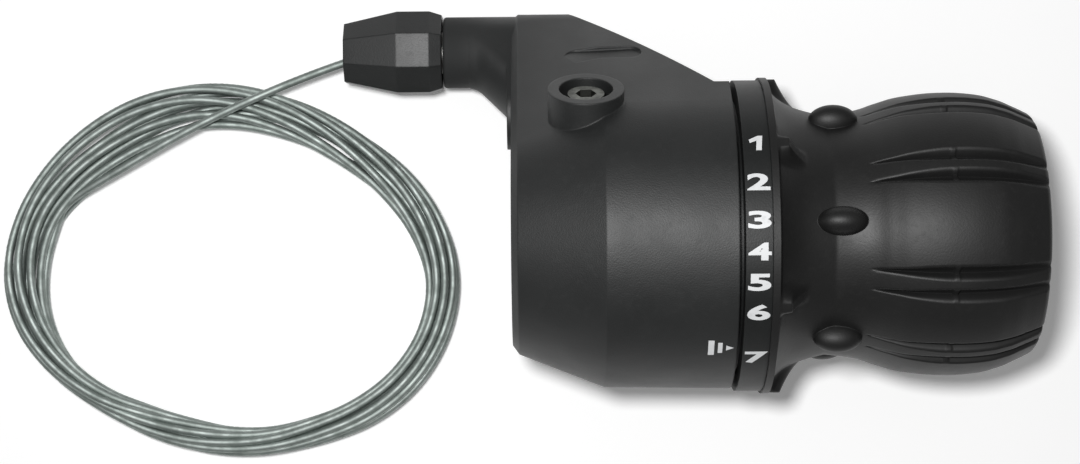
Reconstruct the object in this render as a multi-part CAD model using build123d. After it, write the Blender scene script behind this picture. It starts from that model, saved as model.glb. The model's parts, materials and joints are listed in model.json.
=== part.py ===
"""Twist grip gear shifter for a bicycle handlebar, with its gear wire coiled beside it.

Frame, in millimetres: the origin is on the bar axis at the housing's inboard face, +X runs along the
bar to the grip's outboard end, +Y points to the adjuster side and +Z points up from the table that
the shifter lies on.
"""
import os
from math import acos, atan2, cos, degrees, hypot, pi, radians, sin, sqrt, tan

from build123d import *

# Bar and hub tube
bar_d = 22.2
bar_clearance = 0.05
hub_wall = 1.35
running_clearance = 0.05
seat_gap = 0.1
hub_end_inset = 0.2

# Housing: cone, cylinder and the cavity that takes the spool
housing_len = 30.1
cone_len = 12.7
inboard_r = 16.0
shell_r = 21.3
cone_step = 0.3
shell_wall = 2.0
rim_chamfer = 0.9
cavity_depth = 15.7

# Neck that carries the adjuster, and the gusset that joins it to the barrel
neck_stand_off = 5.9
neck_inset = 5.3
neck_r = 5.2
neck_reach = 10.0
neck_round = 0.5
gusset_tip_r = 5.5
gusset_corner_x = 8.2
gusset_end_inset = 2.1
gusset_bow = 0.5
horn_bend_r = 3.6
horn_slope = 45.0
horn_drop = 4.6
horn_sections = 8
horn_start_share = 0.1
foot_step = 0.7
foot_drop = 9.3
mark_len = 11.0
mark_width = 3.6
mark_depth = 0.7
mark_x = 12.9
mark_drop = 15.6
mark_tilt = -2.8
notch_x = 17.6
notch_len = 1.8
notch_depth = 0.8
notch_width = 5.0

# Clamp screw and its nut
screw_angle = 27.0
screw_d = 5.0
screw_sink = 0.7
screw_tip_chamfer = 0.7
screw_socket_af = 2.5
screw_socket_depth = 3.0
screw_bore_gap = 0.15
boss_d = 10.4
boss_proud = 1.3
counterbore_d = 7.4
counterbore_depth = 2.4
nut_af = 7.0
nut_floor_wall = 0.6
nut_thickness = 3.2
nut_inset = 1.4
nut_corner = 0.5

# Grip core, a hard sleeve whose collar carries the gear numbers
collar_gap = 0.7
collar_len = 3.6
collar_proud = 0.4
core_wall = 2.85
core_lead_len = 3.2
dust_lip_gap = 0.4
dust_lip_wall = 1.0
dust_lip_groove = 0.9
dust_lip_len = 2.0
core_rib_count = 6
core_rib_height = 0.7
core_rib_width = 3.0
core_rib_len = 28.0
core_end_inset = 3.0

# Rubber grip
grip_len = 37.7
flange_proud = 0.75
flange_lip_len = 1.1
flange_lip_step = 1.4
scoop_mid_along = 0.42
scoop_mid_up = 0.25
ridge_len = 2.6
ridge_mid_along = 0.3
ridge_mid_up = 0.36
ridge_root_width = 4.6
ridge_foot_width = 1.0
ridge_lead_angle = 3.5
ridge_inset = 0.1
ridge_bury = 0.3
sector_count = 6
sector_angle = 8.0
waist_rubber = 1.7
waist_start = 7.4
waist_end = 12.6
bulb_rubber = 4.35
bulb_x = 25.6
bulb_rise_rubber = 2.75
bulb_rise_x = 16.4
bulb_fall_rubber = 3.4
bulb_fall_x = 32.5
grip_end_rubber = 1.5
grip_end_slope = -0.7
grip_end_round = 0.7
end_lip_gap = 0.9
end_lip_len = 0.9
nub_len = 6.6
nub_width = 4.5
nub_x = 9.4
groove_repeat = 3
groove_angle = 3.1
groove_pairs_at = (-22.6, 22.6, 60.0)
groove_spread = 4.5
groove_start = 13.8
groove_start_width = 0.6
groove_end_width = 1.7
groove_start_drop = 0.1
groove_mid_depth = 1.25
groove_end_depth = 1.0
groove_bridge_x = 24.6
groove_bridge_len = 0.7
groove_bridge_height = 0.7

# Cable spool and index detent
spool_start_gap = 0.1
spool_len = 11.9
spool_cavity_gap = 1.1
spool_track_step = 1.0
spool_track_len = 4.4
spool_floor_wall = 1.6
spool_groove_x = 6.8
spool_groove_clearance = 0.25
drive_tab_count = 3
drive_tab_len = 2.4
drive_tab_angle = 34.0
drive_tab_floor = 0.6
drive_tab_cover = 1.2
gear_steps = (20.5, 11.5, 11.0, 11.0, 13.5, 16.5)
detent_angle = -90.0
detent_notch_r = 1.3
detent_bump_r = 1.2
detent_clearance = 0.1
leaf_thickness = 0.4
leaf_width = 3.6
leaf_gap = 0.25

# Washers and retaining ring on the hub tube
thrust_washer_t = 1.0
thrust_washer_width = 4.05
end_washer_t = 0.6
end_washer_width = 2.45
ring_t = 1.0
ring_proud = 1.7
ring_groove_depth = 0.5
ring_gap_angle = 30.0

# Barrel adjuster
knob_gap = 0.2
knob_len = 14.3
knob_sides = 8
knob_af = 11.8
knob_back_af = 10.7
knob_mouth_af = 8.4
knob_back_len = 1.8
knob_flat_len = 4.7
casing_r = 3.05
casing_depth = 7.4
mouth_chamfer = 0.8
bolt_r = 3.0
bolt_bore_r = 1.25
bolt_end_room = 2.9
bolt_head_r = 3.9
bolt_head_t = 1.6
spring_room_len = 4.1
spring_room_r = 4.3
spring_wire_d = 0.6
spring_r = 3.75
spring_turns = 3.2
adjuster_washer_t = 0.5

# Gear wire
wire_d = 1.2
wire_bend_r = 14.5
wire_wrap_angle = 40.0
wire_free_x = -18.0
nipple_d = 4.0
nipple_len = 4.0
guide_wall = 0.35
guide_clearance = 0.25
guide_tail = 2.2
wire_straight_x = -20.5
wire_arc_share = 0.45
wire_route_over_table = (
    (-28.4, 24.6, 6.1),
    (-37.3, 21.1, 6.1),
    (-47.6, 16.3, 6.0),
    (-57.8, 10.5, 5.5),
    (-66.2, 5.8, 3.7),
)

# Coil of spare wire on the table
coil_x = -41.6
coil_y = -4.4
coil_length = 68.4
coil_breadth = 55.8
coil_band = 6.4
coil_height = 4.8
coil_round = 1.6

# How far a cut runs past the face that it opens
overrun = 1.0

# Values that follow from the sizes above
bore_r = bar_d / 2 + bar_clearance
hub_r = bore_r + hub_wall
hub_slide_r = hub_r + running_clearance
cavity_x = housing_len - cavity_depth
cavity_r = shell_r - shell_wall
cone_top_r = shell_r - cone_step
collar_r = shell_r + collar_proud
flange_r = shell_r + flange_proud
scoop_top_r = flange_r - flange_lip_step
dust_lip_r = cavity_r - dust_lip_gap
core_lead_r = dust_lip_r - dust_lip_wall - dust_lip_groove
collar_x = housing_len + collar_gap
grip_x = collar_x + collar_len
grip_end_x = grip_x + grip_len
core_r = hub_slide_r + core_wall
waist_r = core_r + waist_rubber
bulb_r = core_r + bulb_rubber
bulb_rise_r = core_r + bulb_rise_rubber
bulb_fall_r = core_r + bulb_fall_rubber
grip_end_r = core_r + grip_end_rubber
end_lip_r = hub_r + end_lip_gap
groove_start_r = waist_r - groove_start_drop
groove_mid_r = bulb_r - groove_mid_depth
groove_end_r = grip_end_r - groove_end_depth
core_end_x = grip_end_x - core_end_inset
hub_end_x = grip_end_x - hub_end_inset
neck_y = shell_r + neck_stand_off
neck_z = neck_inset - shell_r
neck_distance = hypot(neck_y, neck_z)
neck_bearing = atan2(neck_z, neck_y)
neck_end_x = -neck_reach
spool_x = cavity_x + thrust_washer_t + spool_start_gap
spool_end_x = spool_x + spool_len
spool_flange_r = cavity_r - spool_cavity_gap
spool_track_r = spool_flange_r - spool_track_step
spool_groove_half = wire_d / 2 + spool_groove_clearance
thrust_washer_r = hub_slide_r + thrust_washer_width
end_washer_r = hub_slide_r + end_washer_width
ring_r = hub_r + ring_proud
drive_tab_r_in = hub_slide_r + drive_tab_floor
drive_tab_r_out = core_lead_r - drive_tab_cover
wire_x = spool_x + spool_groove_x
wire_groove_r = hub_slide_r + spool_floor_wall + spool_groove_half
core_start_x = collar_x - core_lead_len
end_washer_x = core_end_x + seat_gap
ring_x = end_washer_x + end_washer_t + seat_gap
table_z = -max(flange_r, bulb_r)
wire_exit_angle = neck_bearing + acos(wire_groove_r / neck_distance)
wire_run = sqrt(neck_distance**2 - wire_groove_r**2) - wire_bend_r
guide_end_x = wire_x - wire_bend_r - guide_tail
knob_back_x = neck_end_x - knob_gap
knob_mouth_x = knob_back_x - knob_len
bolt_start_x = knob_mouth_x + casing_depth
bolt_len = guide_end_x - bolt_end_room - bolt_start_x
screw_x = cavity_x - nut_floor_wall - nut_af / 2


def rod(radius, x0, x1, y=0.0, z=0.0):
    """Cylinder along X between two stations."""
    return Pos((x0 + x1) / 2, y, z) * Rot(0, 90, 0) * Cylinder(radius, abs(x1 - x0))


def ring(r_in, r_out, x0, x1, y=0.0, z=0.0):
    """Plain ring along X between two stations."""
    return rod(r_out, x0, x1, y, z) - rod(r_in, min(x0, x1) - overrun, max(x0, x1) + overrun, y, z)


def turned(edges, arc=360.0):
    """Solid of revolution about X from a closed outline drawn as station and radius."""
    return revolve(make_face(edges), Axis.X, revolution_arc=arc)


def about_x(shape, angle):
    """Shape turned about the bar axis, from +Y towards +Z."""
    return Rot(angle, 0, 0) * shape


def from_top(angle):
    """Turn about X that brings a point on +Y to an angle measured from +Z towards +Y."""
    return 90.0 - angle


def hull_section(x, near, near_r, far, far_r):
    """Face round two circles on the line from the bar axis to the neck, joined by their tangents."""
    side = acos((near_r - far_r) / (far - near))

    def on_circle(distance, radius, turn):
        angle = neck_bearing + turn
        y = distance * cos(neck_bearing) + radius * cos(angle)
        z = distance * sin(neck_bearing) + radius * sin(angle)
        return (x, y, z)

    upper_near = on_circle(near, near_r, side)
    lower_near = on_circle(near, near_r, -side)
    upper_far = on_circle(far, far_r, side)
    lower_far = on_circle(far, far_r, -side)
    return make_face([
        Line(upper_near, upper_far),
        ThreePointArc(upper_far, on_circle(far, far_r, 0), lower_far),
        Line(lower_far, lower_near),
        ThreePointArc(lower_near, on_circle(near, near_r, pi), upper_near),
    ])


def barrel_and_gusset():
    """Cone and cylinder round the bar, with the gusset that reaches out to the neck."""
    stations = (
        (0.0, inboard_r - rim_chamfer, gusset_tip_r - rim_chamfer),
        (rim_chamfer, inboard_r + (cone_top_r - inboard_r) * rim_chamfer / cone_len, gusset_tip_r),
        (cone_len, cone_top_r, gusset_tip_r),
        (housing_len, shell_r, gusset_tip_r),
    )
    sections = [hull_section(x, 0.0, r, neck_distance, tip) for x, r, tip in stations]
    body = loft(sections, ruled=True)
    top_y = neck_y + gusset_tip_r
    reach = 2 * top_y
    corner = Vector(gusset_corner_x, top_y)
    slope_end = Vector(housing_len - gusset_end_inset, shell_r)
    along = (slope_end - corner).normalized()
    bow_mid = (corner + slope_end) / 2 + Vector(-along.Y, along.X) * gusset_bow
    outline = [
        ThreePointArc(corner, bow_mid, slope_end),
        Polyline(
            slope_end, (housing_len + overrun, shell_r), (housing_len + overrun, -reach), (-overrun, -reach),
            (-overrun, top_y + overrun), (gusset_corner_x, top_y + overrun), corner,
        ),
    ]
    return body & extrude(make_face(outline), reach, both=True)


def horn():
    """Curved neck root that slopes from the adjuster neck down to a foot on the inboard face."""
    slope = radians(horn_slope)
    bend_len = horn_bend_r * sin(slope)
    bend_drop = horn_bend_r * (1 - cos(slope))
    horn_len = bend_len + (horn_drop - bend_drop) / tan(slope)

    def section(x, drop):
        return hull_section(x, neck_distance - drop / cos(neck_bearing), neck_r, neck_distance, neck_r)

    sections = []
    for i in range(horn_sections):
        along = horn_len * (horn_start_share + (1 - horn_start_share) * i / (horn_sections - 1))
        if along < bend_len:
            drop = horn_bend_r - sqrt(horn_bend_r**2 - along**2)
        else:
            drop = bend_drop + (along - bend_len) * tan(slope)
        sections.append(section(along - horn_len - foot_step, drop))
    foot = extrude(section(-foot_step, foot_drop), foot_step + rim_chamfer + overrun, dir=(1, 0, 0))
    neck_root_x = cone_len / 2
    neck = rod(neck_r, neck_end_x, neck_root_x, neck_y, neck_z)
    end_edge = neck.edges().filter_by(GeomType.CIRCLE).sort_by(Axis.X)[0]
    return fillet(end_edge, neck_round) + loft(sections) + foot


def along_screw(shape, radius):
    """Shape drawn on Z and placed on the clamp screw's axis, its origin at a radius from the bar."""
    return Pos(screw_x, 0, 0) * Rot(screw_angle - 90, 0, 0) * Pos(0, 0, radius) * shape


def up(radius, height):
    """Cylinder standing on its origin."""
    return Pos(0, 0, height / 2) * Cylinder(radius, height)


screw_face_r = shell_r + boss_proud
screw_tip_r = bore_r + screw_bore_gap
screw_len = screw_face_r - screw_sink - screw_tip_r
nut_r = bore_r + nut_inset


def clamp_screw():
    """Set screw with a hexagon socket."""
    shank = up(screw_d / 2, screw_len)
    shank = chamfer(shank.edges().sort_by(Axis.Z)[0], screw_tip_chamfer)
    socket = extrude(RegularPolygon(screw_socket_af / 2, 6, major_radius=False), screw_socket_depth)
    shank -= Pos(0, 0, screw_len - screw_socket_depth) * socket
    return along_screw(shank, screw_tip_r)


def nut_blank():
    """Outside of the square nut, which the clamp boss is moulded round."""
    block = extrude(Rectangle(nut_af, nut_af), nut_thickness)
    return along_screw(chamfer(block.edges().filter_by(Axis.Z), nut_corner), nut_r)


def clamp_nut():
    """Square nut moulded into the clamp boss."""
    return nut_blank() - along_screw(up(screw_d / 2 + running_clearance, nut_thickness), nut_r)


def wire_path(start_inset, end_x):
    """Wire line from its tangent on the spool, round the bend, to a station on the neck axis."""
    out = Vector(0, sin(wire_exit_angle), -cos(wire_exit_angle))
    tangent = Vector(wire_x, wire_groove_r * cos(wire_exit_angle), wire_groove_r * sin(wire_exit_angle))
    bend_start = tangent + out * wire_run
    centre = bend_start - Vector(wire_bend_r, 0, 0)
    middle = centre + (Vector(1, 0, 0) + out) * (wire_bend_r / sqrt(2))
    bend_end = centre + out * wire_bend_r
    bend = ThreePointArc(bend_start, middle, bend_end)
    last = Vector(end_x, neck_y, neck_z)
    return Line(tangent + out * start_inset, bend_start), bend, Line(bend_end, last)


def swept(radius, pieces):
    """Round bar along a chain of tangent lines and arcs."""
    path = Wire(pieces)
    section = Plane(origin=path @ 0, z_dir=path % 0) * Circle(radius)
    return sweep(section, path)


guide_in_r = wire_d / 2 + guide_clearance
guide_out_r = guide_in_r + guide_wall


def cable_guide():
    """Bent liner tube that turns the wire from the spool's tangent to the neck axis."""
    line, bend, tail = wire_path(wire_run - seat_gap, guide_end_x)
    return swept(guide_out_r, [line, bend, tail]) - swept(guide_in_r, [line, bend, tail])


def housing():
    """One-piece moulded body: barrel, gusset, neck, hub tube, clamp boss and wire channel."""
    body = barrel_and_gusset() + horn()
    body += along_screw(up(boss_d / 2, screw_face_r - hub_r), hub_r)
    body -= turned(Polyline(
        (cavity_x, 0), (cavity_x, cavity_r), (housing_len + overrun, cavity_r),
        (housing_len + overrun, 0), close=True,
    ))
    body += rod(hub_r, rim_chamfer, hub_end_x)
    body -= rod(bore_r, -2 * neck_reach, hub_end_x + overrun)
    body -= along_screw(up(counterbore_d / 2, shell_r), screw_face_r - counterbore_depth)
    body -= along_screw(up(screw_d / 2 + running_clearance, shell_r), bore_r - overrun)
    body -= nut_blank()
    body -= swept(guide_out_r, wire_path(wire_run - 2 * shell_wall, neck_end_x))
    body -= rod(bolt_r + running_clearance, neck_end_x - overrun, guide_end_x, neck_y, neck_z)
    body -= ring(hub_r - ring_groove_depth, hub_r + overrun, ring_x, ring_x + ring_t)
    return body - gusset_mark() - gate_notch()


def gusset_mark():
    """Shallow blank recess on the gusset's upper face."""
    side = acos((shell_r - gusset_tip_r) / neck_distance)
    tilt = degrees(neck_bearing + side)
    lozenge = extrude(SlotOverall(mark_len, mark_width), 2 * mark_depth, both=True)
    on_face = Pos(0, mark_drop, shell_r + mark_depth) * Rot(0, mark_tilt, 0)
    return Pos(mark_x, 0, 0) * Rot(tilt - 90, 0, 0) * on_face * lozenge


def gate_notch():
    """Small moulding notch on the barrel's lower side."""
    return Pos(notch_x, -shell_r, 0) * Box(notch_len, 2 * notch_depth, notch_width)


def thrust_washer():
    """Washer between the cavity floor and the spool."""
    return ring(hub_slide_r, thrust_washer_r, cavity_x, cavity_x + thrust_washer_t)


def end_washer():
    """Washer between the grip core and the retaining ring."""
    return ring(hub_slide_r, end_washer_r, end_washer_x, end_washer_x + end_washer_t)


def retaining_ring():
    """Open spring ring in the hub tube's groove, which keeps the grip on."""
    full = ring(hub_r - ring_groove_depth, ring_r, ring_x, ring_x + ring_t)
    gap_width = 2 * ring_r * sin(radians(ring_gap_angle / 2))
    return full - Pos(ring_x, 0, -ring_r) * Box(4 * ring_t, gap_width, ring_r)


def detent_spring():
    """Flat leaf with a folded bump that drops into the spool's notches."""
    inner = spool_track_r + leaf_gap
    outer = inner + leaf_thickness
    half = sqrt(cavity_r**2 - outer**2) - seat_gap
    strip = Pos(0, inner + leaf_thickness / 2) * Rectangle(2 * half, leaf_thickness)
    fold_r = detent_bump_r - leaf_thickness
    opening = Pos(0, outer) * Rectangle(2 * fold_r, 2 * leaf_thickness)
    bump = Pos(0, outer) * (Circle(detent_bump_r) - Circle(fold_r))
    below = Pos(0, outer - detent_bump_r) * Rectangle(3 * detent_bump_r, 2 * detent_bump_r)
    section = (strip - opening) + (bump & below)
    leaf = extrude(section, leaf_width / 2, both=True)
    middle_x = spool_x + spool_track_len / 2
    return Pos(middle_x, 0, 0) * Rot(detent_angle, 0, 0) * Rot(0, 90, 0) * leaf


def cable_spool():
    """Spool that winds the wire, with the index notches and the tabs that drive it."""
    track_end = spool_x + spool_track_len
    body = turned(Polyline(
        (spool_x, hub_slide_r), (spool_x, spool_track_r), (track_end, spool_track_r),
        (track_end, spool_flange_r), (spool_end_x, spool_flange_r), (spool_end_x, hub_slide_r), close=True,
    ))
    body -= ring(
        wire_groove_r, spool_flange_r + overrun, wire_x - spool_groove_half, wire_x + spool_groove_half)
    body -= turned(Pos(wire_x, wire_groove_r) * Circle(spool_groove_half))
    bump_tip_r = spool_track_r + leaf_gap + leaf_thickness - detent_bump_r
    notch_centre_r = bump_tip_r + detent_notch_r - detent_clearance
    notch = rod(detent_notch_r, spool_x - overrun, track_end, notch_centre_r, 0)
    turns = [detent_angle - sum(gear_steps[:i]) for i in range(len(gear_steps) + 1)]
    body -= [about_x(notch, turn) for turn in turns]
    body -= nipple_at(nipple_d / 2 + seat_gap, nipple_len + 2 * seat_gap)
    return body + [drive_tab(i, 0.0) for i in range(drive_tab_count)]


def drive_tab(index, spare):
    """Drive tab on the spool's outboard face, or with spare room, its pocket in the core."""
    half = drive_tab_angle / 2 + degrees(spare / drive_tab_r_in)
    end_x = spool_end_x + drive_tab_len + spare
    tab = ring(drive_tab_r_in - spare, drive_tab_r_out + spare, spool_end_x, end_x)
    reach = 2 * drive_tab_r_out
    wedge = Polyline(
        (0, 0), (reach * cos(radians(half)), -reach * sin(radians(half))),
        (reach * cos(radians(half)), reach * sin(radians(half))), close=True,
    )
    sector = Pos(spool_end_x - overrun, 0, 0) * (Plane.YZ * extrude(make_face(wedge), 3 * drive_tab_len))
    return about_x(tab & sector, index * 360 / drive_tab_count)


def nipple_at(radius, length):
    """Barrel on the wire's line at its wound end, along the spool's tangent."""
    turn = degrees(wire_exit_angle) + wire_wrap_angle
    barrel = Pos(wire_x, wire_groove_r, 0) * Cylinder(radius, length)
    return about_x(barrel, turn + degrees(nipple_len / 2 / wire_groove_r))


def wire_nipple():
    """Cast end barrel of the wire, in the spool's pocket."""
    return nipple_at(nipple_d / 2, nipple_len)


def wire_wound():
    """Stretch of wire that lies in the spool's groove."""
    start = degrees(wire_exit_angle)
    spare = degrees(seat_gap / wire_groove_r)
    arc = wire_wrap_angle - 2 * spare
    return about_x(turned(Pos(wire_x, wire_groove_r) * Circle(wire_d / 2), arc), start + spare)


def wire_inner():
    """Stretch of wire from the spool's tangent, through the guide and the adjuster."""
    return swept(wire_d / 2, wire_path(3 * seat_gap, wire_free_x))


def grip_core():
    """Hard sleeve that turns on the hub tube, with the number collar and ribs that key the rubber."""
    lip_in = dust_lip_r - dust_lip_wall
    body = turned(Polyline(
        (core_start_x, hub_slide_r), (core_start_x, core_lead_r), (collar_x, core_lead_r),
        (collar_x, lip_in), (collar_x - dust_lip_len, lip_in), (collar_x - dust_lip_len, dust_lip_r),
        (collar_x, dust_lip_r), (collar_x, collar_r), (grip_x, collar_r), (grip_x, core_r),
        (core_end_x, core_r), (core_end_x, hub_slide_r), close=True,
    ))
    body += core_ribs()
    return body - [drive_tab(i, seat_gap) for i in range(drive_tab_count)]


def core_ribs():
    """Straight ribs on the core's sleeve that key the rubber against turning."""
    start_x = grip_x - collar_len / 2
    end_x = grip_x + core_rib_len
    rib_r = core_r + core_rib_height
    bar = Box(end_x - start_x, core_wall, core_rib_width)
    rib = Pos((start_x + end_x) / 2, rib_r - core_wall / 2, 0) * bar
    return [about_x(rib, i * 360 / core_rib_count) for i in range(core_rib_count)]


def grip_profile():
    """Outer line of the rubber between its ridges, from the flange to the outboard end."""
    lip_x = grip_x + flange_lip_len
    waist_x = grip_x + waist_start
    drop_mid = (
        lip_x + scoop_mid_along * (waist_x - lip_x), waist_r + scoop_mid_up * (scoop_top_r - waist_r))
    swell = Spline(
        (grip_x + waist_end, waist_r), (grip_x + bulb_rise_x, bulb_rise_r), (grip_x + bulb_x, bulb_r),
        (grip_x + bulb_fall_x, bulb_fall_r), (grip_end_x - grip_end_round, grip_end_r),
        tangents=((1, 0), (1, grip_end_slope)),
    )
    return [
        Line((grip_x, core_r), (grip_x, flange_r)),
        Line((grip_x, flange_r), (lip_x, flange_r)),
        Line((lip_x, flange_r), (lip_x, scoop_top_r)),
        ThreePointArc((lip_x, scoop_top_r), drop_mid, (waist_x, waist_r)),
        Line((waist_x, waist_r), (grip_x + waist_end, waist_r)),
        swell,
        Line(swell @ 1, (grip_end_x, grip_end_r - grip_end_round)),
        Line((grip_end_x, grip_end_r - grip_end_round), (grip_end_x, end_lip_r)),
        Line((grip_end_x, end_lip_r), (grip_end_x - end_lip_len, end_lip_r)),
        Line((grip_end_x - end_lip_len, end_lip_r), (grip_end_x - end_lip_len, core_r)),
        Line((grip_end_x - end_lip_len, core_r), (grip_x, core_r)),
    ]


def ridge():
    """Buttress between two scoops, from the flange down to the waist."""
    start_x = grip_x + flange_lip_len / 2
    top_x = grip_x + ridge_len
    foot_x = grip_x + waist_start + ridge_bury
    top_r = flange_r - ridge_inset
    root_r = (core_r + waist_r) / 2
    mid = (top_x + ridge_mid_along * (foot_x - top_x), waist_r + ridge_mid_up * (top_r - waist_r))
    foot = (foot_x, waist_r - ridge_bury)
    section = make_face([
        Line((start_x, root_r), (start_x, top_r)),
        Line((start_x, top_r), (top_x, top_r)),
        ThreePointArc((top_x, top_r), mid, foot),
        Line(foot, (foot_x, root_r)),
        Line((foot_x, root_r), (start_x, root_r)),
    ])
    half_arc = degrees(ridge_root_width / flange_r)
    blank = about_x(revolve(section, Axis.X, revolution_arc=2 * half_arc), -half_arc)
    claw = Polyline(
        (start_x - overrun, -ridge_root_width / 2), (foot_x + overrun, -ridge_foot_width / 2),
        (foot_x + overrun, ridge_foot_width / 2), (start_x - overrun, ridge_root_width / 2), close=True,
    )
    return blank & (Plane.XZ * extrude(make_face(claw), -2 * flange_r))


def nub():
    """Domed thumb nub on the waist."""
    upper = Pos(0, nub_width / 2) * Rectangle(nub_len, nub_width)
    half = Ellipse(nub_len / 2, nub_width / 2) & upper
    dome = Pos(grip_x + nub_x, waist_r, 0) * revolve(half, Axis.X)
    return dome - rod((core_r + waist_r) / 2, grip_x, grip_end_x)


def groove_cutter():
    """Crescent groove along the bulb, with a low bridge across it."""
    floor = ThreePointArc(
        (grip_x + groove_start, groove_start_r), (grip_x + bulb_x, groove_mid_r),
        (grip_end_x + overrun, groove_end_r),
    )
    top_r = bulb_r + 2 * overrun
    section = make_face([
        floor,
        Line(floor @ 1, (grip_end_x + overrun, top_r)),
        Line((grip_end_x + overrun, top_r), (grip_x + groove_start, top_r)),
        Line((grip_x + groove_start, top_r), floor @ 0),
    ])
    bridge = Rectangle(groove_bridge_len, 2 * groove_bridge_height)
    section -= Pos(grip_x + groove_bridge_x, groove_mid_r) * bridge
    start_x = grip_x + groove_start - overrun
    end_x = grip_end_x + 2 * overrun
    start_half = groove_start_width / 2
    end_half = groove_end_width / 2
    plan = Polyline(
        (start_x, -start_half), (end_x, -end_half), (end_x, end_half), (start_x, start_half), close=True)
    blank = extrude(section, groove_end_width, both=True)
    return blank & (Plane.XZ * extrude(make_face(plan), -2 * flange_r))


def grip_rubber():
    """Moulded rubber grip: scooped flange, waist with nubs, and a fluted bulb."""
    pitch = 360 / sector_count
    sectors = [sector_angle + i * pitch for i in range(sector_count)]
    body = turned(grip_profile())
    body += [about_x(ridge(), from_top(angle + pitch / 2 - ridge_lead_angle)) for angle in sectors]
    body += [about_x(nub(), from_top(angle)) for angle in sectors]
    repeats = [groove_angle + i * 360 / groove_repeat for i in range(groove_repeat)]
    centres = [from_top(turn + angle) for turn in repeats for angle in groove_pairs_at]
    cutter = groove_cutter()
    body -= [about_x(cutter, centre + side * groove_spread) for centre in centres for side in (-1, 1)]
    return body - core_ribs()


def octagon(x, across_flats):
    """Octagon across the neck axis at a station, with one flat facing up."""
    outline = RegularPolygon(across_flats / 2, knob_sides, major_radius=False, rotation=180 / knob_sides)
    return Plane(origin=(x, neck_y, neck_z), x_dir=(0, 1, 0), z_dir=(1, 0, 0)) * outline


def adjuster_knob():
    """Octagonal knob with a socket for the casing and a room for the click spring."""
    flat_x = knob_back_x - knob_back_len
    taper_x = flat_x - knob_flat_len
    body = loft([
        octagon(knob_mouth_x, knob_mouth_af), octagon(taper_x, knob_af),
        octagon(flat_x, knob_af), octagon(knob_back_x, knob_back_af),
    ], ruled=True)
    body -= rod(casing_r, knob_mouth_x - overrun, bolt_start_x, neck_y, neck_z)
    flare = Rot(0, 90, 0) * Cone(casing_r + mouth_chamfer, casing_r, mouth_chamfer)
    body -= Pos(knob_mouth_x + mouth_chamfer / 2, neck_y, neck_z) * flare
    body -= rod(spring_room_r, knob_back_x - spring_room_len, knob_back_x + overrun, neck_y, neck_z)
    return body - adjuster_bolt_blank()


def adjuster_bolt_blank():
    """Outside of the adjuster bolt, which the knob is moulded round."""
    shank = rod(bolt_r, bolt_start_x, bolt_start_x + bolt_len, neck_y, neck_z)
    return shank + rod(bolt_head_r, bolt_start_x, bolt_start_x + bolt_head_t, neck_y, neck_z)


def adjuster_bolt():
    """Hollow bolt that screws into the neck."""
    hole = rod(bolt_bore_r, bolt_start_x - overrun, bolt_start_x + bolt_len + overrun, neck_y, neck_z)
    return adjuster_bolt_blank() - hole


washer_x = knob_back_x - spring_room_len + seat_gap


def adjuster_washer():
    """Washer under the click spring: it slides with the knob and does not turn."""
    r_in = bolt_r + 2 * running_clearance
    return ring(r_in, spring_room_r - seat_gap, washer_x, washer_x + adjuster_washer_t, neck_y, neck_z)


def adjuster_spring():
    """Click spring between the neck's end and the washer in the knob."""
    start = washer_x + adjuster_washer_t + spring_wire_d / 2 + seat_gap
    end = neck_end_x - spring_wire_d / 2 - seat_gap
    height = end - start
    helix = Helix(height / spring_turns, height, spring_r)
    section = Plane(origin=helix @ 0, z_dir=helix % 0) * Circle(spring_wire_d / 2)
    coil = sweep(section, helix, is_frenet=True)
    return Pos(start, neck_y, neck_z) * Rot(0, 90, 0) * coil


def wire_lead():
    """Free stretch of wire from inside the knob's mouth to the coil."""
    points = [Vector(wire_free_x, neck_y, neck_z), Vector(wire_straight_x, neck_y, neck_z)]
    points += [Vector(x, y, table_z + height) for x, y, height in wire_route_over_table]
    radii = []
    for before, here, after in zip(points, points[1:], points[2:]):
        turn = radians((here - before).get_angle(after - here))
        shorter = min((here - before).length, (after - here).length)
        radii.append(wire_arc_share * shorter / tan(turn / 2))
    print("wire radii", [round(r, 1) for r in radii])
    path = FilletPolyline(*points, radius=radii)
    section = Plane(origin=path @ 0, z_dir=path % 0) * Circle(wire_d / 2)
    lead = sweep(section, path)
    expected = pi * wire_d**2 / 4 * path.length
    print("lead volume", round(lead.volume, 3), "section times length", round(expected, 3))
    return lead


def wire_coil():
    """Outer shape of the coiled wire, an oval ring on the table."""
    outline = Ellipse(coil_length / 2, coil_breadth / 2)
    hole = Ellipse(coil_length / 2 - coil_band, coil_breadth / 2 - coil_band)
    band = extrude(outline - hole, coil_height)
    band = fillet(band.edges().group_by(Axis.Z)[-1], coil_round)
    return Pos(coil_x, coil_y, table_z) * band


pieces = {
    "housing": housing,
    "clamp_screw": clamp_screw,
    "clamp_nut": clamp_nut,
    "cable_guide": cable_guide,
    "detent_spring": detent_spring,
    "thrust_washer": thrust_washer,
    "end_washer": end_washer,
    "retaining_ring": retaining_ring,
    "adjuster_spring": adjuster_spring,
    "wire_inner": wire_inner,
    "wire_lead": wire_lead,
    "wire_coil": wire_coil,
    "grip_core": grip_core,
    "grip_rubber": grip_rubber,
    "cable_spool": cable_spool,
    "wire_nipple": wire_nipple,
    "wire_wound": wire_wound,
    "adjuster_washer": adjuster_washer,
    "adjuster_knob": adjuster_knob,
    "adjuster_bolt": adjuster_bolt,
}

os.makedirs("parts", exist_ok=True)
for name, make in pieces.items():
    export_step(make(), os.path.join("parts", name + ".step"))
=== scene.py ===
"""Looks of a twist grip gear shifter that lies on a pale table with its gear wire coiled beside it."""
import json
from math import cos, pi, radians, sin

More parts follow.
